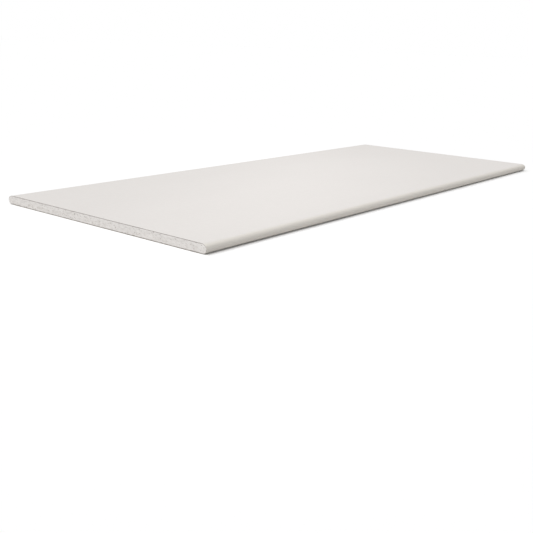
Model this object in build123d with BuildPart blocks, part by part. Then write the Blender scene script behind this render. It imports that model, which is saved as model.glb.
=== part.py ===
"""Drywall sheet: a foamed gypsum core between face paper and back paper, laid flat with its face up.

The face paper covers the face, wraps round both rounded long edges and ends in a flap on the back.
The back paper covers the rest of the back and laps over both flaps.
Both ends are cut square, so that core and papers end flush there.

X runs across the sheet, Y along it and Z up. The origin is the middle of the back, on the floor.
"""

import os

from build123d import *

# Driving dimensions of the sheet, in millimetres
sheet_length = 1500.0
sheet_width = 625.0
sheet_thickness = 20.0
paper_thickness = 0.5

# Rounded long edge, measured across the sheet on the outside of the face paper
face_round_depth = 13.0
back_round_depth = 10.0

# Seam on the back, measured across the sheet
flap_width = 32.0
bare_flap_width = 6.0

# Heights above the floor
flap_top = paper_thickness * 2
core_top = sheet_thickness - paper_thickness
nose_height = sheet_thickness / 2

# Places across the right half of the sheet
edge_x = sheet_width / 2
face_flat_end = edge_x - face_round_depth
back_flat_end = edge_x - back_round_depth
flap_end = back_flat_end - flap_width
back_paper_edge = back_flat_end - bare_flap_width


def rounded_edge(inset):
    """The right long edge in section, from face to back, at a depth of inset under the paper's outside."""
    EllipticalCenterArc(
        (face_flat_end, nose_height),
        face_round_depth - inset,
        sheet_thickness - nose_height - inset,
        start_angle=0,
        arc_size=90,
    )
    EllipticalCenterArc(
        (back_flat_end, nose_height),
        back_round_depth - inset,
        nose_height - paper_thickness - inset,
        start_angle=270,
        arc_size=90,
    )


# Gypsum core: its back is stepped in by one paper thickness where the flaps lie
with BuildPart() as gypsum_core:
    with BuildSketch(Plane.XZ):
        with BuildLine():
            Line((0, core_top), (face_flat_end, core_top))
            rounded_edge(paper_thickness)
            Polyline(
                (back_flat_end, flap_top),
                (flap_end, flap_top),
                (flap_end, paper_thickness),
                (0, paper_thickness),
            )
            mirror(about=Plane.YZ)
        make_face()
    extrude(amount=sheet_length / 2, both=True)

# Face paper: one web that runs from flap to flap over the face and both long edges
with BuildPart() as face_paper:
    with BuildSketch(Plane.XZ):
        with BuildLine():
            Line((0, sheet_thickness), (face_flat_end, sheet_thickness))
            rounded_edge(0)
            Polyline(
                (back_flat_end, paper_thickness),
                (flap_end, paper_thickness),
                (flap_end, flap_top),
                (back_flat_end, flap_top),
            )
            rounded_edge(paper_thickness)
            Line((face_flat_end, core_top), (0, core_top))
            mirror(about=Plane.YZ)
        make_face()
    extrude(amount=sheet_length / 2, both=True)

# Back paper: a flat web that the sheet lies on
with BuildPart() as back_paper:
    with BuildSketch(Plane.XY):
        Rectangle(back_paper_edge * 2, sheet_length)
    extrude(amount=paper_thickness)

gypsum_core.part.label = "gypsum_core"
face_paper.part.label = "face_paper"
back_paper.part.label = "back_paper"

os.makedirs("parts", exist_ok=True)
export_step(gypsum_core.part, "parts/gypsum_core.step")
export_step(face_paper.part, "parts/face_paper.step")
export_step(back_paper.part, "parts/back_paper.step")
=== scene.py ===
"""Drywall sheet: dresses its packed frame with paper webs, cut gypsum ends and a plain studio stage.

Lengths are metres in the frame of the packed sheet: X across it, Y along it, Z up, with the floor at zero.
"""

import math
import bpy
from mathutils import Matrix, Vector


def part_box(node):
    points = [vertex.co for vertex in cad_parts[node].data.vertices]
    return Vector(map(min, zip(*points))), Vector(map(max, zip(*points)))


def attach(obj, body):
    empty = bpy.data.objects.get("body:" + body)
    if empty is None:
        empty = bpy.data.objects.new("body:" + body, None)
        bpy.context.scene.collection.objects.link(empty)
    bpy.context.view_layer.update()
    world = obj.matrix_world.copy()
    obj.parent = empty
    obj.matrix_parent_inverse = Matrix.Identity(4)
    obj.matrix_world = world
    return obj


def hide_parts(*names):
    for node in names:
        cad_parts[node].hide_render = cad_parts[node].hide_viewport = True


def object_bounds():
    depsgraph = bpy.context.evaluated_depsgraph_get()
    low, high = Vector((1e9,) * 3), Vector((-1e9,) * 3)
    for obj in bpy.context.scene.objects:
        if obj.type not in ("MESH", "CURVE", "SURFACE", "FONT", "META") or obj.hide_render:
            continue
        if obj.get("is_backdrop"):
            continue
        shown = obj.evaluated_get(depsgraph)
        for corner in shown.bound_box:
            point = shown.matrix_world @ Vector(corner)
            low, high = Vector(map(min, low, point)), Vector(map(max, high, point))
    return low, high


bl_info = {
    "name": "Drywall Sheet",
    "version": (1, 0, 0),
    "blender": (4, 5, 0),
    "location": "3D View > Sidebar > Drywall",
    "description": "Builds a paper-faced gypsum sheet on its packed frame, with finishes and a studio stage",
    "category": "Object",
}

from typing import NamedTuple

import bpy
import numpy as np
from bpy.props import FloatProperty, FloatVectorProperty, IntProperty, PointerProperty
from mathutils import Matrix, Vector, kdtree, noise
from mathutils.geometry import delaunay_2d_cdt

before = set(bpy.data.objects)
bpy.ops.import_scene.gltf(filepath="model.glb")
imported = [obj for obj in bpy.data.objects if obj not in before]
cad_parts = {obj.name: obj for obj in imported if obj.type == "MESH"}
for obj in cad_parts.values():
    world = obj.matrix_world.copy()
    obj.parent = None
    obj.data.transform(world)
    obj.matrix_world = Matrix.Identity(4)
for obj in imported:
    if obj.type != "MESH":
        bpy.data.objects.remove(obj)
CAD_LOW, CAD_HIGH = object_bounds()

MM = 0.001
BODY = "root"
BAKE_MAP = "OFBake"
HOLLOW = "hollow"
WHITE = (1, 1, 1)

# Two heights nearer than the first are one layer of the sheet, and two points nearer than the second are one
SAME_HEIGHT = 0.02 * MM
SAME_POINT = 0.00002 * MM

# Kind of Delaunay fill that leaves out the faces beyond the outline
INSIDE_ONLY = 1


def right_section(node):
    """The x and z of each corner of a packed node, right of the sheet's middle."""
    corners = np.array([corner.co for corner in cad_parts[node].data.vertices])
    return corners[corners[:, 0] > 0][:, [0, 2]]


# Sizes of the sheet, read from the packed frame
HALF_WIDTH = CAD_HIGH.x
HALF_LENGTH = CAD_HIGH.y
THICKNESS = CAD_HIGH.z
NOSE_HEIGHT = THICKNESS / 2
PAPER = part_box("back_paper")[1].z
BACK_PAPER_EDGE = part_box("back_paper")[1].x
WEB_SECTION = right_section("face_paper")
FACE_FLAT_END = WEB_SECTION[WEB_SECTION[:, 1] > THICKNESS - SAME_HEIGHT, 0].max()
BACK_FLAT_END = WEB_SECTION[WEB_SECTION[:, 1] < PAPER + SAME_HEIGHT, 0].max()
FLAP_END = WEB_SECTION[WEB_SECTION[:, 1] < PAPER + SAME_HEIGHT, 0].min()
FACE_ROUND = HALF_WIDTH - FACE_FLAT_END
BACK_ROUND = HALF_WIDTH - BACK_FLAT_END

# Edges of a mesh that turn by more than this stay sharp
SHARP_TURN = math.radians(50)

# How far the noise moves on from one seed to the next, in spots along each axis
SEED_STEP = np.array((17.3, 5.1, 11.7))

# Rows of a web beside each cut end: their distances from it as shares of the spacing further in
END_ROW_SHARES = np.array((0, 0.05, 0.14, 0.32))

# How far the swell of a web is drawn out along each axis
SWELL_STRETCH = (1, 2.2, 1)

# Points on a cut end: how far each is shaken, how far it keeps off an outline or a pore, and how close those
# round a pore are, as shares of their spacing
SHAKE_SHARE = 0.28
MARGIN_SHARE = 0.45
PORE_STEP_SHARE = 0.7

# Relief of a cut end: width and depth of fine tears beside coarse ones, and the part that stays sound
FINE_TEAR_WIDTH_SHARE = 1 / 3
FINE_TEAR_DEPTH_SHARE = 0.7
SOUND_SHARE = 0.15

# Groove under a paper: the power by which it steepens towards the paper, its depth where it breaks least and
# at a nose, as shares of its full depth, and how far in from a nose it is as deep as elsewhere
GROOVE_POWER = 1.5
LEAST_GROOVE_SHARE = 0.25
NOSE_GROOVE_SHARE = 0.25
NOSE_GROOVE_REACH = 2 * FACE_ROUND

# Air pores: depth as a share of half a ball's, a power of the draws that keeps most pores small, the rings
# of points in a pore, and how far these points are shaken outwards, as shares of its radius
PORE_DEPTH_SHARE = 0.8
SMALL_PORE_POWER = 6
PORE_RING_SHARES = (1, 0.7, 0)
PORE_SHAKE_SHARE = 0.12

# Seeds set aside for each cut end
END_SEEDS = 10

# Bake map of a web: the columns that its sides fill, as shares of the map's width
OUTSIDE_COLUMN = (0, 0.86)
INSIDE_COLUMN = (0.88, 0.93)
FLAP_END_COLUMNS = ((0.94, 0.95), (0.96, 0.97))
CUT_END_COLUMNS = ((0.975, 0.984), (0.99, 0.999))

# Bake map of the core: rows for the strips that each cut end is laid out in, and one for the hidden sides
CUT_STRIPS = 5
MAP_ROWS = 2 * CUT_STRIPS + 1
ROW_GAP_SHARE = 0.06

# Plies of a cut paper: how far from the cut they start to show and show in full, how strongly and patchily,
# and the share of them that stays hidden on a long edge
PLY_START = 0.9 * MM
PLY_FULL = 0.5 * MM
PLY_STRENGTH = 0.9
PLY_PATCHINESS = 0.67
HIDDEN_PLY_SHARE = 0.65

# The share of a rounded edge over which the face paper takes on its warmer edge tint and painted highlight
EDGE_TONE_SHARE = 0.75

# What a cloud of noise varies about
MID_CLOUD = 0.5

# Gypsum is denser beside the papers and tears less: where that starts and is full, in from a nose and as
# shares of the way from mid thickness to a paper, and the shares of the tears that it takes away
DENSE_NOSE = (7 * MM, 2 * MM)
DENSE_SKIN_SHARES = (0.4, 0.75)
NOSE_SPARED_SHARE = 0.8
SKIN_SPARED_SHARE = 0.6

# The part of a paper's relief that its fibres make, and of the gypsum's that its grain makes
FIBRE_RELIEF_SHARE = 0.6
GRAIN_RELIEF_SHARE = 0.5


# What a user would change

def length_property(name, description, default):
    return FloatProperty(
        name=name, description=description, default=default, min=0, precision=5, unit="LENGTH"
    )


def share_property(name, description, default):
    return FloatProperty(name=name, description=description, default=default, min=0, max=1, subtype="FACTOR")


def seed_property(description, default):
    return IntProperty(name="Seed", description=description, default=default, min=0)


def angle_property(name, description, degrees):
    return FloatProperty(name=name, description=description, default=math.radians(degrees), subtype="ANGLE")


def place_property(name, description, default):
    return FloatVectorProperty(
        name=name, description=description, default=default, subtype="TRANSLATION", unit="LENGTH"
    )


def colour_property(name, description, default):
    return FloatVectorProperty(
        name=name, description=description, default=default, min=0, max=1, subtype="COLOR"
    )


class WebLook(bpy.types.PropertyGroup):
    """Relief of both papers, and the colours that they share."""

    cut_colour: colour_property("Cut end", "Plies that show where a paper is cut", (0.28, 0.25, 0.225))
    fleck_colour: colour_property("Flecks", "Stray fibres in the stock", (0.4, 0.36, 0.32))
    column: length_property("Columns", "Spacing of points across a web", 2.4 * MM)
    edge_column: length_property("Edge columns", "Spacing of points round a long edge", 1.2 * MM)
    row: length_property("Rows", "Spacing of points along a web", 22 * MM)
    swell: length_property("Swell", "Height of the slow swell of the bonded paper", 0.09 * MM)
    swell_size: length_property("Swell size", "Width of one swell", 55 * MM)
    fray: length_property("Fray", "How far a cut end wanders along the sheet", 0.4 * MM)
    fray_size: length_property("Fray size", "Width of one such wander", 6 * MM)


class FaceLook(bpy.types.PropertyGroup):
    """Finish of the face paper, and the seed of its relief."""

    colour: colour_property("Face", "Face paper where it lies flat", (0.735, 0.707, 0.685))
    # Warmer tint of the paper on a long edge, made lighter than the face as a painted highlight
    edge_tint_and_highlight: colour_property("Long edge", "Face paper where it wraps a long edge", (0.785, 0.749, 0.694))
    fibre_size: length_property("Fibre size", "Width of a fibre", 0.9 * MM)
    fibre_contrast: share_property("Fibre contrast", "How far the fibres vary the colour", 0.09)
    mottle_size: length_property("Mottle size", "Width of a spot of the mottle", 9 * MM)
    mottle_contrast: share_property("Mottle contrast", "How far the mottle varies the colour", 0.045)
    patch_size: length_property("Patch size", "Width of a broad patch", 160 * MM)
    patch_contrast: share_property("Patch contrast", "How far the patches vary the colour", 0.03)
    streak_size: length_property("Streak size", "Width of a streak on a long edge", 2.2 * MM)
    streak_contrast: share_property("Streak contrast", "How far the streaks vary the colour", 0.16)
    fleck_size: length_property("Fleck size", "Width of a fleck", 1.6 * MM)
    fleck_strength: share_property("Fleck strength", "How strongly the flecks show", 0.22)
    relief: length_property("Relief", "Depth of the fibres and the mottle", 0.06 * MM)
    shine: share_property("Shine", "Strength of the paper's faint gloss", 0.3)
    seed: seed_property("Seed of the swell and the fray", 3)


class BackLook(bpy.types.PropertyGroup):
    """Finish of the back paper, and the seed of its relief."""

    colour: colour_property("Back", "Back paper of recycled stock", (0.5, 0.465, 0.415))
    fibre_size: length_property("Fibre size", "Width of a fibre", 1.1 * MM)
    fibre_contrast: share_property("Fibre contrast", "How far the fibres vary the colour", 0.2)
    mottle_size: length_property("Mottle size", "Width of a spot of the mottle", 12 * MM)
    mottle_contrast: share_property("Mottle contrast", "How far the mottle varies the colour", 0.34)
    patch_size: length_property("Patch size", "Width of a broad patch", 200 * MM)
    patch_contrast: share_property("Patch contrast", "How far the patches vary the colour", 0.16)
    fleck_size: length_property("Fleck size", "Width of a fleck", 2 * MM)
    fleck_strength: share_property("Fleck strength", "How strongly the flecks show", 0.4)
    relief: length_property("Relief", "Depth of the fibres and the mottle", 0.1 * MM)
    shine: share_property("Shine", "Strength of the paper's faint gloss", 0.25)
    seed: seed_property("Seed of the swell and the fray", 5)


class CutLook(bpy.types.PropertyGroup):
    """Relief of the gypsum where the ends are cut."""

    spacing: length_property("Spacing", "Spacing of points on a cut end", 0.62 * MM)
    tear: length_property("Tear depth", "Depth of the torn patches", 0.22 * MM)
    tear_size: length_property("Tear size", "Width of a torn patch", 6 * MM)
    grit: length_property("Grit depth", "Depth of the fine roughness", 0.12 * MM)
    grit_size: length_property("Grit size", "Width of a grain", 1.2 * MM)
    groove_depth: length_property("Groove depth", "How far the core crumbles back under a paper", 1.2 * MM)
    groove_height: length_property("Groove height", "How far that groove reaches from the paper", 1.5 * MM)
    groove_size: length_property("Groove size", "Length of a crumbled stretch", 9 * MM)
    pores: IntProperty(name="Pores", description="Air pores opened on each cut end", default=1300, min=0)
    pore_least: length_property("Smallest pore", "Radius of the smallest pore", 0.5 * MM)
    pore_most: length_property("Largest pore", "Radius of the largest pore", 1.5 * MM)
    seed: seed_property("Seed of the tears and pores", 7)


class GypsumLook(bpy.types.PropertyGroup):
    """Finish of the gypsum."""

    colour: colour_property("Gypsum", "Sound gypsum on a cut", (0.885, 0.853, 0.826))
    torn_colour: colour_property("Torn gypsum", "Gypsum in torn and dusty patches", (0.7, 0.665, 0.63))
    # Colour of the dark specks, and of the painted shade, partly dust, that fills pores and other hollows
    speck_and_shade_colour: colour_property("Pore", "Insides of air pores", (0.42, 0.39, 0.36))
    grain_size: length_property("Grain size", "Width of the finest grain", 0.4 * MM)
    grain_contrast: share_property("Grain contrast", "How far the grain varies the colour", 0.36)
    clump_size: length_property("Clump size", "Width of a clump of grains", 1.3 * MM)
    clump_contrast: share_property("Clump contrast", "How far the clumps vary the colour", 0.18)
    stroke_size: length_property("Stroke size", "Width of a stroke of the saw", 0.8 * MM)
    stroke_lean: angle_property("Stroke lean", "Slant of the strokes on a cut end", -24)
    stroke_contrast: share_property("Stroke contrast", "How far the strokes vary the colour", 0.22)
    patch_size: length_property("Patch size", "Width of a torn patch in the colour", 7 * MM)
    torn_strength: share_property("Torn strength", "How strongly the torn patches show", 0.55)
    speck_size: length_property("Speck size", "Width of a dark speck", 1.5 * MM)
    speck_strength: share_property("Speck strength", "How strongly the specks show", 0.5)
    # Painted shade, partly dust, that darkens a cut end more the deeper it lies behind the cut
    shade_and_dust_start: length_property("Dust start", "Depth at which a hollow starts to hold dust", 0.2 * MM)
    shade_and_dust_full: length_property("Dust full", "Depth at which it holds most", 1.1 * MM)
    shade_and_dust_strength: share_property("Dust strength", "How strongly the dust shows", 0.65)
    relief: length_property("Relief", "Depth of the grain, the clumps and the strokes", 0.5 * MM)
    shine: share_property("Shine", "Strength of the gypsum's faint gloss", 0.15)


class StageLook(bpy.types.PropertyGroup):
    """Floor, light and camera."""

    floor_colour: colour_property("Floor", "Pale floor as it lights the sheet", (0.7, 0.7, 0.7))
    floor_span: length_property("Floor span", "Side of the floor", 60)
    floor_drop: length_property("Floor drop", "Gap that keeps the floor off the back paper", 0.2 * MM)
    fill: FloatProperty(name="Fill", description="Strength of light from all around", default=0.45, min=0)
    key: FloatProperty(name="Key", description="Strength of the key light", default=1.97, min=0)
    key_from: FloatVectorProperty(
        name="Key from", description="Where the key light comes from", default=(-0.3, -0.45, 1),
        subtype="DIRECTION",
    )
    key_spread: angle_property("Key spread", "Apparent width of the key light", 70)
    pool: FloatProperty(
        name="Pool", description="Power of the soft light over the face", default=0.37, min=0, unit="POWER"
    )
    pool_place: place_property("Pool place", "Where that light hangs", (0.065, -0.2, 0.36))
    pool_width: length_property("Pool width", "Short side of that light", 0.35)
    pool_length: length_property("Pool length", "Long side of that light", 1.6)
    pool_turn: angle_property("Pool turn", "Heading of its long side, from +Y towards -X", 23)
    camera_place: place_property("Camera", "Where the camera stands", (1.27142, -1.76786, 0.3828))
    camera_yaw: angle_property("Yaw", "Heading of the view, from +X towards +Y", 128.763)
    camera_pitch: angle_property("Pitch", "How far the view looks down", 16.024)
    camera_roll: angle_property("Roll", "Turn of the picture", 1.932)
    camera_lens: FloatProperty(
        name="Lens", description="Focal length", default=53.381, min=1, subtype="DISTANCE_CAMERA"
    )


# The looks by the names that a scene keeps them under
LOOKS = {
    "drywall_cut": CutLook,
    "drywall_gypsum": GypsumLook,
    "drywall_web": WebLook,
    "drywall_face": FaceLook,
    "drywall_back": BackLook,
    "drywall_stage": StageLook,
}


# Shaders written as Python expressions

class Value:
    """A shader socket that Python's operators work on: each of them adds a Math node."""

    def __init__(self, nodes, socket):
        self.nodes = nodes
        self.socket = socket

    def maths(self, operation, first, second=0):
        values = {"Value": first, "Value_001": second}
        return self.nodes.make("ShaderNodeMath", "Value", {"operation": operation}, values)

    def __add__(self, other):
        return self.maths("ADD", self, other)

    def __radd__(self, other):
        return self.maths("ADD", other, self)

    def __sub__(self, other):
        return self.maths("SUBTRACT", self, other)

    def __rsub__(self, other):
        return self.maths("SUBTRACT", other, self)

    def __mul__(self, other):
        return self.maths("MULTIPLY", self, other)

    def __rmul__(self, other):
        return self.maths("MULTIPLY", other, self)

    def __abs__(self):
        return self.maths("ABSOLUTE", self)


class Nodes:
    """The emptied node tree of a material or a world."""

    def __init__(self, owner):
        owner.use_nodes = True
        self.tree = owner.node_tree
        self.tree.nodes.clear()

    def make(self, kind, output=None, settings=None, values=None):
        """Adds a node, sets it up, fills its sockets by identifier and gives back one of its outputs."""
        node = self.tree.nodes.new(kind)
        for name, setting in (settings or {}).items():
            setattr(node, name, setting)
        for name, value in (values or {}).items():
            socket = next(one for one in node.inputs if one.identifier == name)
            if isinstance(value, Value):
                self.tree.links.new(value.socket, socket)
            else:
                socket.default_value = value
        if output is None:
            return None
        return Value(self, next(one for one in node.outputs if one.identifier == output))

    def place(self):
        """Where a point lies in the sheet's frame."""
        return self.make("ShaderNodeTexCoord", "Object")

    def along(self, axis):
        """One coordinate of that place."""
        return self.make("ShaderNodeSeparateXYZ", axis, values={"Vector": self.place()})

    def cloud(self, size, drawn_out=(1, 1, 1), lean=0, detail=2):
        """Noise from 0 to 1 with spots about size across, drawn out along the axes after a lean about Y."""
        place = self.make(
            "ShaderNodeVectorRotate", "Vector", {"rotation_type": "Y_AXIS"},
            {"Vector": self.place(), "Angle": lean},
        )
        spots = self.make(
            "ShaderNodeVectorMath", "Vector", {"operation": "MULTIPLY"},
            {"Vector": place, "Vector_001": [1 / (size * stretch) for stretch in drawn_out]},
        )
        return self.make("ShaderNodeTexNoise", "Fac", values={"Vector": spots, "Scale": 1, "Detail": detail})

    def rise(self, value, low, high):
        """A smooth step from 0 at low to 1 at high."""
        return self.make(
            "ShaderNodeMapRange", "Result", {"interpolation_type": "SMOOTHSTEP"},
            {"Value": value, "From Min": low, "From Max": high},
        )

    def mix(self, share, first, second):
        """The first colour with a share of the second."""
        values = {"Factor_Float": share, "A_Color": first, "B_Color": second}
        return self.make("ShaderNodeMix", "Result_Color", {"data_type": "RGBA"}, values)

    def shade(self, colour, brightness):
        """A colour made lighter or darker by a factor."""
        values = {"Vector": colour, "Scale": brightness}
        return self.make("ShaderNodeVectorMath", "Vector", {"operation": "SCALE"}, values)

    def matte(self, colour, roughness, height, relief, shine):
        """A matte surface whose height, from 0 to 1, stands for a relief of that depth."""
        normal = self.make("ShaderNodeBump", "Normal", values={"Height": height, "Distance": relief})
        values = {
            "Base Color": colour,
            "Roughness": roughness,
            "Normal": normal,
            "Specular IOR Level": shine,
        }
        surface = self.make("ShaderNodeBsdfPrincipled", "BSDF", values=values)
        self.make("ShaderNodeOutputMaterial", values={"Surface": surface})


def opaque(colour):
    """A colour property as a socket takes it."""
    return (*colour, 1)


def varied(*clouds):
    """A factor about 1 that each cloud varies by its share."""
    return sum(((cloud - MID_CLOUD) * share for cloud, share in clouds), 1)


def between(low, high, share):
    """A value that a share takes from low to high."""
    return low + share * (high - low)


def cut_plies(nodes, fibres):
    """How far the plies show on a paper: patchily at its cut ends, and nowhere else."""
    cut = nodes.rise(abs(nodes.along("Y")), low=HALF_LENGTH - PLY_START, high=HALF_LENGTH - PLY_FULL)
    return cut * PLY_STRENGTH * varied((fibres, PLY_PATCHINESS))


def paper_height(fibres, mottle):
    """Relief of a paper, from 0 to 1."""
    return fibres * FIBRE_RELIEF_SHARE + mottle * (1 - FIBRE_RELIEF_SHARE)


def face_paper_finish(web, look):
    """Smooth light paper, warmer, faintly streaked and with a painted highlight on the long edges, grey
    plies at cuts.
    """
    material = bpy.data.materials.new("face_paper")
    nodes = Nodes(material)
    fibres = nodes.cloud(look.fibre_size, drawn_out=(1, 6, 1), detail=3)
    mottle = nodes.cloud(look.mottle_size, drawn_out=(1, 1.6, 1), detail=4)
    patches = nodes.cloud(look.patch_size, drawn_out=(1, 2, 1))
    streaks = nodes.cloud(look.streak_size, drawn_out=(1, 60, 1), detail=3)
    flecks = nodes.rise(nodes.cloud(look.fleck_size, drawn_out=(1, 3, 1)), low=0.72, high=0.78)
    edge_start, edge_full = FACE_FLAT_END, FACE_FLAT_END + EDGE_TONE_SHARE * FACE_ROUND
    wrapped = nodes.rise(abs(nodes.along("X")), low=edge_start, high=edge_full)

    # Where the paper wraps a long edge it takes a warmer tint, lighter than the face as a painted highlight
    stock = nodes.mix(wrapped, opaque(look.colour), opaque(look.edge_tint_and_highlight))
    stock = nodes.mix(flecks * look.fleck_strength, stock, opaque(web.fleck_colour))
    evenness = varied(
        (fibres, look.fibre_contrast),
        (mottle, look.mottle_contrast),
        (patches, look.patch_contrast),
        (streaks, wrapped * look.streak_contrast),
    )
    stock = nodes.shade(stock, evenness)
    plies = cut_plies(nodes, fibres) * (1 - wrapped * HIDDEN_PLY_SHARE)
    nodes.matte(
        colour=nodes.mix(plies, stock, opaque(web.cut_colour)),
        roughness=between(low=0.82, high=0.98, share=mottle),
        height=paper_height(fibres, mottle),
        relief=look.relief,
        shine=look.shine,
    )
    return material


def back_paper_finish(web, look):
    """Greyer, coarser paper of recycled stock."""
    material = bpy.data.materials.new("back_paper")
    nodes = Nodes(material)
    fibres = nodes.cloud(look.fibre_size, drawn_out=(1, 5, 1), detail=3)
    mottle = nodes.cloud(look.mottle_size, drawn_out=(1, 1.4, 1), detail=5)
    patches = nodes.cloud(look.patch_size, drawn_out=(1, 2.5, 1))
    flecks = nodes.rise(nodes.cloud(look.fleck_size, drawn_out=(1, 3, 1)), low=0.66, high=0.74)

    stock = nodes.mix(flecks * look.fleck_strength, opaque(look.colour), opaque(web.fleck_colour))
    evenness = varied(
        (fibres, look.fibre_contrast),
        (mottle, look.mottle_contrast),
        (patches, look.patch_contrast),
    )
    stock = nodes.shade(stock, evenness)
    nodes.matte(
        colour=nodes.mix(cut_plies(nodes, fibres), stock, opaque(web.cut_colour)),
        roughness=between(low=0.84, high=0.98, share=mottle),
        height=paper_height(fibres, mottle),
        relief=look.relief,
        shine=look.shine,
    )
    return material


def gypsum_finish(look):
    """Chalky, sawn gypsum: fine grain, torn patches, slanting saw strokes, painted shade and dust in the
    hollows.
    """
    material = bpy.data.materials.new("gypsum")
    nodes = Nodes(material)
    grain = nodes.cloud(look.grain_size, detail=4)
    clumps = nodes.cloud(look.clump_size, detail=4)
    patches = nodes.cloud(look.patch_size, drawn_out=(1.6, 1, 0.8), detail=4)
    strokes = nodes.cloud(look.stroke_size, drawn_out=(12, 1, 1), lean=look.stroke_lean, detail=3)
    specks = nodes.rise(nodes.cloud(look.speck_size, detail=1), low=0.66, high=0.73)
    # Painted shade, partly dust: the deeper a point lies behind the cut, in pores, tears and grooves, the
    # darker
    depth = nodes.make("ShaderNodeAttribute", "Fac", {"attribute_name": HOLLOW})
    shade_and_dust = nodes.rise(depth, low=look.shade_and_dust_start, high=look.shade_and_dust_full)

    # Near the papers the gypsum is denser, so that it tears less
    nose_start, nose_full = (HALF_WIDTH - inwards for inwards in DENSE_NOSE)
    nose = nodes.rise(abs(nodes.along("X")), low=nose_start, high=nose_full)
    skin_start, skin_full = (NOSE_HEIGHT * share for share in DENSE_SKIN_SHARES)
    skin = nodes.rise(abs(nodes.along("Z") - NOSE_HEIGHT), low=skin_start, high=skin_full)
    loose = (1 - nose * NOSE_SPARED_SHARE) * (1 - skin * SKIN_SPARED_SHARE)

    torn = nodes.rise(patches, low=0.4, high=0.74) * loose
    stock = nodes.mix(torn * look.torn_strength, opaque(look.colour), opaque(look.torn_colour))
    evenness = varied(
        (grain, look.grain_contrast),
        (clumps, look.clump_contrast),
        (strokes, look.stroke_contrast),
    )
    stock = nodes.shade(stock, evenness)
    stock = nodes.mix(specks * look.speck_strength * loose, stock, opaque(look.speck_and_shade_colour))
    # The hollows are darkened by painted shade, partly dust, in the colour of the specks
    nodes.matte(
        colour=nodes.mix(shade_and_dust * look.shade_and_dust_strength, stock, opaque(look.speck_and_shade_colour)),
        roughness=between(low=0.86, high=0.98, share=clumps),
        height=grain * GRAIN_RELIEF_SHARE + (clumps + strokes) * ((1 - GRAIN_RELIEF_SHARE) / 2),
        relief=look.relief,
        shine=look.shine,
    )
    return material


# Outlines across the sheet, as rows of x and z

def run(start, end, spacing):
    """Evenly spaced points on a line, both ends included."""
    steps = max(1, math.ceil(math.dist(start, end) / spacing))
    return np.linspace(start, end, steps + 1)


def quarter(centre, radii, start, inset, spacing):
    """A quarter of an ellipse, clockwise from an angle in degrees, as deep as inset under its outside."""
    typical_radius = math.hypot(*radii) / math.sqrt(2)
    steps = math.ceil(math.pi / 2 * typical_radius / spacing)
    turns = np.radians(np.linspace(start, start - 90, steps + 1))
    return np.column_stack((
        centre[0] + (radii[0] - inset) * np.cos(turns),
        centre[1] + (radii[1] - inset) * np.sin(turns),
    ))


def right_web(inset, spacing, edge_spacing):
    """The right half of the face paper, from mid face to the end of its flap, at a depth of inset."""
    face_height, flap_height = THICKNESS - inset, PAPER + inset
    face_radii = (FACE_ROUND, THICKNESS - NOSE_HEIGHT)
    back_radii = (BACK_ROUND, NOSE_HEIGHT - PAPER)
    return np.concatenate((
        run((0, face_height), (FACE_FLAT_END, face_height), spacing)[:-1],
        quarter((FACE_FLAT_END, NOSE_HEIGHT), face_radii, start=90, inset=inset, spacing=edge_spacing)[:-1],
        quarter((BACK_FLAT_END, NOSE_HEIGHT), back_radii, start=0, inset=inset, spacing=edge_spacing)[:-1],
        run((BACK_FLAT_END, flap_height), (FLAP_END, flap_height), spacing),
    ))


def both_sides(right):
    """A right half that starts at the middle, with its mirror image before it."""
    return np.concatenate((right[:0:-1] * (-1, 1), right))


def core_ring(spacing):
    """The outline of the core, clockwise as seen along Y, from the middle of its back."""
    back = run((FLAP_END, PAPER), (0, PAPER), spacing)
    return both_sides(np.concatenate((right_web(PAPER, spacing, spacing), back)))[1:]


def travelled(path):
    """The share of a path's length that lies before each of its points."""
    steps = np.hypot(*np.diff(path, axis=0).T)
    return np.concatenate(([0], np.cumsum(steps))) / steps.sum()


def outward(path):
    """The unit normal at each point of a path that has its outside on the left."""
    ahead = np.gradient(path, axis=0)
    return np.column_stack((-ahead[:, 1], ahead[:, 0])) / np.hypot(*ahead.T)[:, None]


def limits(ring, x):
    """Heights of an outline's back and face at places across the sheet."""
    heights = []
    for half in (ring[ring[:, 1] <= NOSE_HEIGHT], ring[ring[:, 1] >= NOSE_HEIGHT]):
        half = half[np.argsort(half[:, 0], kind="stable")]
        heights.append(np.interp(x, half[:, 0], half[:, 1]))
    return heights


# Meshes

class Shape(NamedTuple):
    """A mesh in the making, with places on the bake map for its faces' corners and depths for its points."""

    points: np.ndarray
    faces: list
    places: np.ndarray
    hollows: np.ndarray = None


def add_piece(name, node, material, shape):
    """Links a smooth mesh as a piece in place of a packed node."""
    mesh = bpy.data.meshes.new(name)
    mesh.from_pydata(shape.points.tolist(), [], shape.faces)
    mesh.uv_layers.new(name=BAKE_MAP).data.foreach_set("uv", shape.places.astype(np.float32).ravel())
    if shape.hollows is not None:
        depths = mesh.attributes.new(HOLLOW, "FLOAT", "POINT")
        depths.data.foreach_set("value", shape.hollows.astype(np.float32))
    mesh.shade_smooth()
    mesh.set_sharp_from_angle(angle=SHARP_TURN)
    mesh.materials.append(material)
    if mesh.validate():
        raise RuntimeError(f"the mesh of {name} has faces that Blender had to mend")
    piece = bpy.data.objects.new(name, mesh)
    bpy.context.scene.collection.objects.link(piece)
    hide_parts(node)
    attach(piece, BODY)


def spread_noise(places, size, seed, drawn_out=(1, 1, 1)):
    """Smooth noise, about -1 to 1, at each place, with spots about size across, drawn out along the axes."""
    spots = places / (size * np.array(drawn_out)) + seed * SEED_STEP
    return np.array([noise.noise(spot) for spot in spots.tolist()])


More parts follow.
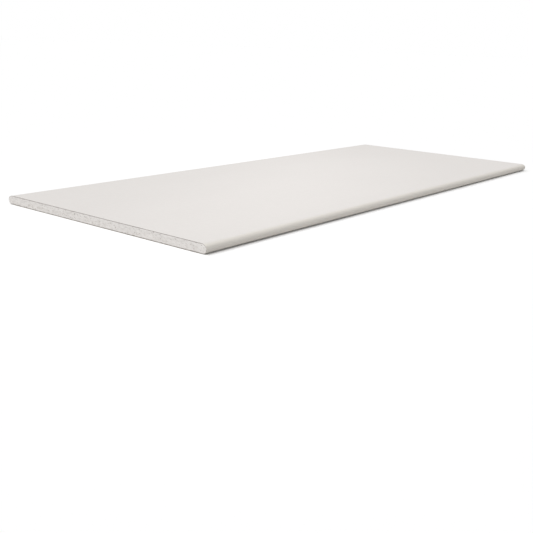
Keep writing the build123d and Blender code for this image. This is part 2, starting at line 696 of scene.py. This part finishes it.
def cells(grid):
    """The four corners of each cell of a grid, whether it holds points' numbers or places on a map."""
    corners = np.stack((grid[:-1, :-1], grid[:-1, 1:], grid[1:, 1:], grid[1:, :-1]), axis=2)
    return corners.reshape(-1, *corners.shape[2:])


def map_grid(column, across, along):
    """Places on the bake map of a grid that fills a column of it, from shares across and along the grid."""
    return np.stack(np.meshgrid(np.interp(across, (0, 1), column), along), axis=-1)


def web_rows(spacing):
    """Places along the sheet: even rows, and closer ones beside each cut end."""
    near = spacing * END_ROW_SHARES - HALF_LENGTH
    middle = np.arange(spacing - HALF_LENGTH, HALF_LENGTH - spacing / 2, spacing)
    return np.concatenate((near, middle, -near[::-1]))


def web_shape(outer, inner, look, seed):
    """A thin web: its outer and inner paths in section, carried along the sheet."""
    rows = web_rows(look.row)
    count = len(outer)
    points = np.empty((len(rows), 2 * count, 3))
    points[:, :, [0, 2]] = np.concatenate((outer, inner[::-1]))
    points[:, :, 1] = rows[:, None]

    # The bond swells the outside a little
    outside = points[:, :count]
    swell = look.swell * spread_noise(outside.reshape(-1, 3), look.swell_size, seed, SWELL_STRETCH)
    outside[:, :, [0, 2]] += swell.reshape(len(rows), count, 1) * outward(outer)

    # Each cut end wanders inwards, broadly through the whole paper and half as broadly ply by ply
    for end, inward in ((points[0], 1), (points[-1], -1)):
        wander = spread_noise(end * (1, 1, 0), look.fray_size, seed)
        wander += spread_noise(end, look.fray_size / 2, seed + 1)
        end[:, 1] += inward * look.fray * np.abs(wander) / 2

    # Each side of the web as a grid of points, with its column, across and along shares on the bake map
    index = np.arange(len(rows) * 2 * count).reshape(len(rows), 2 * count)
    out, into = index[:, :count], index[:, count:]
    across, back_across = travelled(outer), travelled(inner[::-1])
    along = (rows + HALF_LENGTH) / (2 * HALF_LENGTH)
    pair = (0, 1)
    sides = (
        (out, OUTSIDE_COLUMN, across, along),
        (into, INSIDE_COLUMN, back_across, along),
        (index[:, [count - 1, count]], FLAP_END_COLUMNS[0], pair, along),
        (index[:, [-1, 0]], FLAP_END_COLUMNS[1], pair, along),
        (np.column_stack((out[0], into[0, ::-1])), CUT_END_COLUMNS[0], pair, across),
        (np.column_stack((into[-1, ::-1], out[-1])), CUT_END_COLUMNS[1], pair, across),
    )
    return Shape(
        points=points.reshape(-1, 3),
        faces=np.concatenate([cells(grid) for grid, *_ in sides]).tolist(),
        places=np.concatenate([cells(map_grid(*layout)) for _, *layout in sides]),
    )


def draw_pores(ring, look, draw):
    """The air pores that a cut opens, as rows of x, z and radius."""
    sizes = draw.random(look.pores) ** SMALL_PORE_POWER
    radii = look.pore_least + (look.pore_most - look.pore_least) * sizes
    centres = draw.uniform(ring.min(axis=0), ring.max(axis=0), (look.pores, 2))
    return np.column_stack((centres, radii))


def in_pores(flat, pores, margin=0):
    """Each point in a pore or its margin: its number, the pore's radius and its distance from the middle."""
    tree = kdtree.KDTree(len(flat))
    for number, (x, z) in enumerate(flat):
        tree.insert((x, z, 0), number)
    tree.balance()
    for x, z, radius in pores:
        for _, number, reach in tree.find_range((x, z, 0), radius + margin):
            yield number, radius, reach


def pore_points(pores, spacing, draw):
    """Points on rings in each pore, the outermost on its rim."""
    rings = [np.empty((0, 2))]
    for x, z, radius in pores:
        for share in PORE_RING_SHARES:
            count = max(1, round(2 * math.pi * radius * share / (PORE_STEP_SHARE * spacing)))
            reach = radius * share * draw.uniform(1, 1 + PORE_SHAKE_SHARE, count)
            turns = np.linspace(0, 2 * math.pi, count, endpoint=False)
            rings.append(np.column_stack((x + reach * np.cos(turns), z + reach * np.sin(turns))))
    return np.concatenate(rings)


def fill_points(ring, pores, spacing, draw):
    """Points inside an outline: rings in the pores, and a staggered, shaken lattice between them."""
    low, high = ring.min(axis=0), ring.max(axis=0)
    rise = spacing * math.sqrt(3) / 2
    x, z = np.meshgrid(np.arange(low[0], high[0], spacing), np.arange(low[1] + rise, high[1], rise))
    x = x + spacing / 2 * (np.arange(len(x)) % 2)[:, None]
    lattice = np.column_stack((x.ravel(), z.ravel()))
    shake = SHAKE_SHARE * spacing
    lattice += draw.uniform(-shake, shake, lattice.shape)
    margin = MARGIN_SHARE * spacing
    taken = [number for number, *_ in in_pores(lattice, pores, margin)]
    points = np.concatenate((pore_points(pores, spacing, draw), np.delete(lattice, taken, axis=0)))
    back, face = limits(ring, points[:, 0])
    return points[(points[:, 1] > back + margin) & (points[:, 1] < face - margin)]


def cut_depth(flat, ring, pores, look, seed):
    """How far each point of a cut end lies behind the plane of the cut."""
    places = np.column_stack((flat[:, 0], np.zeros(len(flat)), flat[:, 1]))
    torn = spread_noise(places, look.tear_size, seed)
    fine_size = FINE_TEAR_WIDTH_SHARE * look.tear_size
    torn += FINE_TEAR_DEPTH_SHARE * spread_noise(places, fine_size, seed + 1)
    depth = look.tear * np.clip(torn - SOUND_SHARE, 0, 1)
    depth += look.grit * (1 + spread_noise(places, look.grit_size, seed + 2)) / 2

    # Under each paper the core crumbles back, least round the noses
    back, face = limits(ring, flat[:, 0])
    under = np.clip(1 - np.minimum(flat[:, 1] - back, face - flat[:, 1]) / look.groove_height, 0, 1)
    level = np.clip((HALF_WIDTH - np.abs(flat[:, 0])) / NOSE_GROOVE_REACH, NOSE_GROOVE_SHARE, 1)
    broken = LEAST_GROOVE_SHARE + (1 + spread_noise(places, look.groove_size, seed + 3)) / 2
    depth += look.groove_depth * under ** GROOVE_POWER * level * broken

    # Each pore is a bowl, and where pores meet the deeper one counts
    bowls = np.zeros(len(flat))
    for number, radius, reach in in_pores(flat, pores):
        bowls[number] = max(bowls[number], math.sqrt(max(0, radius ** 2 - reach ** 2)))
    return depth + PORE_DEPTH_SHARE * bowls


def cut_map(flat, faces, first_row):
    """Places on the bake map of a cut end's faces, in strips that are stacked up from a row of the map."""
    x = (flat[faces, 0] + HALF_WIDTH) / (2 * HALF_WIDTH) * CUT_STRIPS
    strip = np.floor(x.mean(axis=1, keepdims=True))
    height = flat[faces, 1] / THICKNESS
    across = np.interp(x - strip, (0, 1), (ROW_GAP_SHARE / 2, 1 - ROW_GAP_SHARE / 2))
    up = first_row + strip + np.interp(height, (0, 1), (ROW_GAP_SHARE, 1 - ROW_GAP_SHARE))
    return np.stack((across, up / MAP_ROWS), axis=-1)


def cut_end(ring, look, seed):
    """One cut end: its points across the sheet, their depths behind the cut and the faces between them."""
    draw = np.random.default_rng(seed)
    pores = draw_pores(ring, look, draw)
    flat = np.concatenate((ring, fill_points(ring, pores, look.spacing, draw)))
    outline = [(number, (number + 1) % len(ring)) for number in range(len(ring))]
    filled = delaunay_2d_cdt([Vector(point) for point in flat], outline, [], INSIDE_ONLY, SAME_POINT)
    if len(filled[0]) != len(flat):
        raise RuntimeError("the cut end was filled with other points than were given")
    return flat, cut_depth(flat, ring, pores, look, seed), np.array(filled[2])


def core_shape(look):
    """The core: two rough cut ends, and plain sides that the papers hide."""
    ring = core_ring(look.spacing)
    near, near_depth, near_faces = cut_end(ring, look, look.seed)
    far, far_depth, far_faces = cut_end(ring, look, look.seed + END_SEEDS)
    far_faces = far_faces[:, ::-1]
    closed = np.arange(len(ring) + 1) % len(ring)
    sides = np.stack((closed, closed + len(near)))
    side_row = (np.array((ROW_GAP_SHARE, 1 - ROW_GAP_SHARE)) + MAP_ROWS - 1) / MAP_ROWS
    places = (
        cut_map(near, near_faces, 0),
        cut_map(far, far_faces, CUT_STRIPS),
        cells(map_grid((0, 1), np.linspace(0, 1, len(closed)), side_row)),
    )
    return Shape(
        points=np.concatenate((
            np.column_stack((near[:, 0], near_depth - HALF_LENGTH, near[:, 1])),
            np.column_stack((far[:, 0], HALF_LENGTH - far_depth, far[:, 1])),
        )),
        faces=[*near_faces.tolist(), *(far_faces + len(near)).tolist(), *cells(sides).tolist()],
        places=np.concatenate([one.reshape(-1, 2) for one in places]),
        hollows=np.concatenate((near_depth, far_depth)),
    )


# Stage

def seen_directly(nodes):
    """1 for what the camera, a mirror or glass sees, and 0 for light that only falls on things."""
    kinds = ("Camera", "Glossy", "Transmission")
    return sum(nodes.make("ShaderNodeLightPath", f"Is {kind} Ray") for kind in kinds)


def add_floor(look):
    """A wide pale floor that keeps the sheet's shadow and is otherwise seen as white."""
    reach = look.floor_span / 2
    corners = [(x * reach, y * reach, -look.floor_drop) for x, y in ((-1, -1), (1, -1), (1, 1), (-1, 1))]
    mesh = bpy.data.meshes.new("floor")
    mesh.from_pydata(corners, [], [(0, 1, 2, 3)])
    material = bpy.data.materials.new("floor")
    nodes = Nodes(material)
    pale, seen = (
        nodes.make("ShaderNodeBsdfDiffuse", "BSDF", values={"Color": opaque(colour)})
        for colour in (look.floor_colour, WHITE)
    )
    surface = nodes.make(
        "ShaderNodeMixShader", "Shader",
        values={"Fac": seen_directly(nodes), "Shader": pale, "Shader_001": seen},
    )
    nodes.make("ShaderNodeOutputMaterial", values={"Surface": surface})
    mesh.materials.append(material)
    floor = bpy.data.objects.new("floor", mesh)
    bpy.context.scene.collection.objects.link(floor)
    floor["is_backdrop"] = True


def add_surround(look):
    """Even light from all around, seen as white."""
    world = bpy.data.worlds.new("surround")
    nodes = Nodes(world)
    white = opaque(WHITE)
    light, seen = (
        nodes.make("ShaderNodeBackground", "Background", values={"Color": white, "Strength": strength})
        for strength in (look.fill, 1)
    )
    surface = nodes.make(
        "ShaderNodeMixShader", "Shader",
        values={"Fac": seen_directly(nodes), "Shader": light, "Shader_001": seen},
    )
    nodes.make("ShaderNodeOutputWorld", values={"Surface": surface})
    bpy.context.scene.world = world


def add_key(look):
    """A broad soft key light from above the near cut end."""
    light = bpy.data.lights.new("key", "SUN")
    light.energy = look.key
    light.angle = look.key_spread
    key = bpy.data.objects.new("key", light)
    key.rotation_euler = Vector(look.key_from).to_track_quat("Z", "Y").to_euler()
    bpy.context.scene.collection.objects.link(key)


def add_pool(look):
    """A soft long light close over the face, out of the camera's sight."""
    light = bpy.data.lights.new("pool", "AREA")
    light.shape = "ELLIPSE"
    light.size = look.pool_width
    light.size_y = look.pool_length
    light.energy = look.pool
    pool = bpy.data.objects.new("pool", light)
    pool.location = look.pool_place
    pool.rotation_euler.z = look.pool_turn
    pool.visible_camera = False
    bpy.context.scene.collection.objects.link(pool)


def add_camera(look):
    """A camera at the place, heading and roll of the look."""
    level = math.cos(look.camera_pitch)
    ahead = Vector((
        math.cos(look.camera_yaw) * level,
        math.sin(look.camera_yaw) * level,
        -math.sin(look.camera_pitch),
    ))
    right = Vector((math.sin(look.camera_yaw), -math.cos(look.camera_yaw), 0))
    heading = Matrix((right, right.cross(ahead), -ahead)).transposed()
    turn = heading @ Matrix.Rotation(look.camera_roll, 3, "Z")
    data = bpy.data.cameras.new("camera")
    data.lens = look.camera_lens
    camera = bpy.data.objects.new("camera", data)
    camera.matrix_world = Matrix.Translation(look.camera_place) @ turn.to_4x4()
    bpy.context.scene.collection.objects.link(camera)
    return camera


# One operator for each piece, and one for the stage

class DRYWALL_OT_gypsum_core(bpy.types.Operator):
    """Build the gypsum core with its two cut ends"""

    bl_idname = "drywall.gypsum_core"
    bl_label = "Gypsum Core"

    def execute(self, context):
        material = gypsum_finish(context.scene.drywall_gypsum)
        shape = core_shape(context.scene.drywall_cut)
        add_piece("cut_core", "gypsum_core", material, shape)
        return {"FINISHED"}


class DRYWALL_OT_face_paper(bpy.types.Operator):
    """Build the face paper, wrapped round both long edges"""

    bl_idname = "drywall.face_paper"
    bl_label = "Face Paper"

    def execute(self, context):
        web, look = context.scene.drywall_web, context.scene.drywall_face
        outer, inner = (both_sides(right_web(inset, web.column, web.edge_column)) for inset in (0, PAPER))
        shape = web_shape(outer, inner, web, look.seed)
        add_piece("face_web", "face_paper", face_paper_finish(web, look), shape)
        return {"FINISHED"}


class DRYWALL_OT_back_paper(bpy.types.Operator):
    """Build the back paper that laps over the flaps of the face paper"""

    bl_idname = "drywall.back_paper"
    bl_label = "Back Paper"

    def execute(self, context):
        web, look = context.scene.drywall_web, context.scene.drywall_back
        outer, inner = (
            run((BACK_PAPER_EDGE, height), (-BACK_PAPER_EDGE, height), web.column) for height in (0, PAPER)
        )
        shape = web_shape(outer, inner, web, look.seed)
        add_piece("back_web", "back_paper", back_paper_finish(web, look), shape)
        return {"FINISHED"}


class DRYWALL_OT_stage(bpy.types.Operator):
    """Lay the floor, hang the lights and set up the camera"""

    bl_idname = "drywall.stage"
    bl_label = "Stage"

    def execute(self, context):
        look = context.scene.drywall_stage
        context.scene.view_settings.view_transform = "Standard"
        add_floor(look)
        add_surround(look)
        add_key(look)
        add_pool(look)
        context.scene.camera = add_camera(look)
        return {"FINISHED"}


class DRYWALL_PT_sheet(bpy.types.Panel):
    """Sidebar panel with the pieces and their looks"""

    bl_idname = "DRYWALL_PT_sheet"
    bl_label = "Drywall Sheet"
    bl_space_type = "VIEW_3D"
    bl_region_type = "UI"
    bl_category = "Drywall"

    def draw(self, context):
        for operators, looks in BOXES:
            box = self.layout.box()
            for operator in operators:
                box.operator(operator.bl_idname)
            for look in looks:
                box.label(text=LOOKS[look].__doc__)
                for name in LOOKS[look].__annotations__:
                    box.prop(getattr(context.scene, look), name)


# Boxes of the panel: the operators in each, and the looks that these use
BOXES = (
    ((DRYWALL_OT_gypsum_core,), ("drywall_cut", "drywall_gypsum")),
    ((DRYWALL_OT_face_paper, DRYWALL_OT_back_paper), ("drywall_web", "drywall_face", "drywall_back")),
    ((DRYWALL_OT_stage,), ("drywall_stage",)),
)

CLASSES = (
    *LOOKS.values(),
    DRYWALL_OT_gypsum_core,
    DRYWALL_OT_face_paper,
    DRYWALL_OT_back_paper,
    DRYWALL_OT_stage,
    DRYWALL_PT_sheet,
)


def register():
    for one in CLASSES:
        bpy.utils.register_class(one)
    for name, look in LOOKS.items():
        setattr(bpy.types.Scene, name, PointerProperty(type=look))


def unregister():
    for name in LOOKS:
        delattr(bpy.types.Scene, name)
    for one in reversed(CLASSES):
        bpy.utils.unregister_class(one)


def main():
    register()
    bpy.ops.drywall.gypsum_core()
    bpy.ops.drywall.face_paper()
    bpy.ops.drywall.back_paper()
    bpy.ops.drywall.stage()
    boxes = {"cad": (CAD_LOW, CAD_HIGH), "visual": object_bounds()}
    {name: [list(corner) for corner in box] for name, box in boxes.items()}


if __name__ == "__main__":
    main()
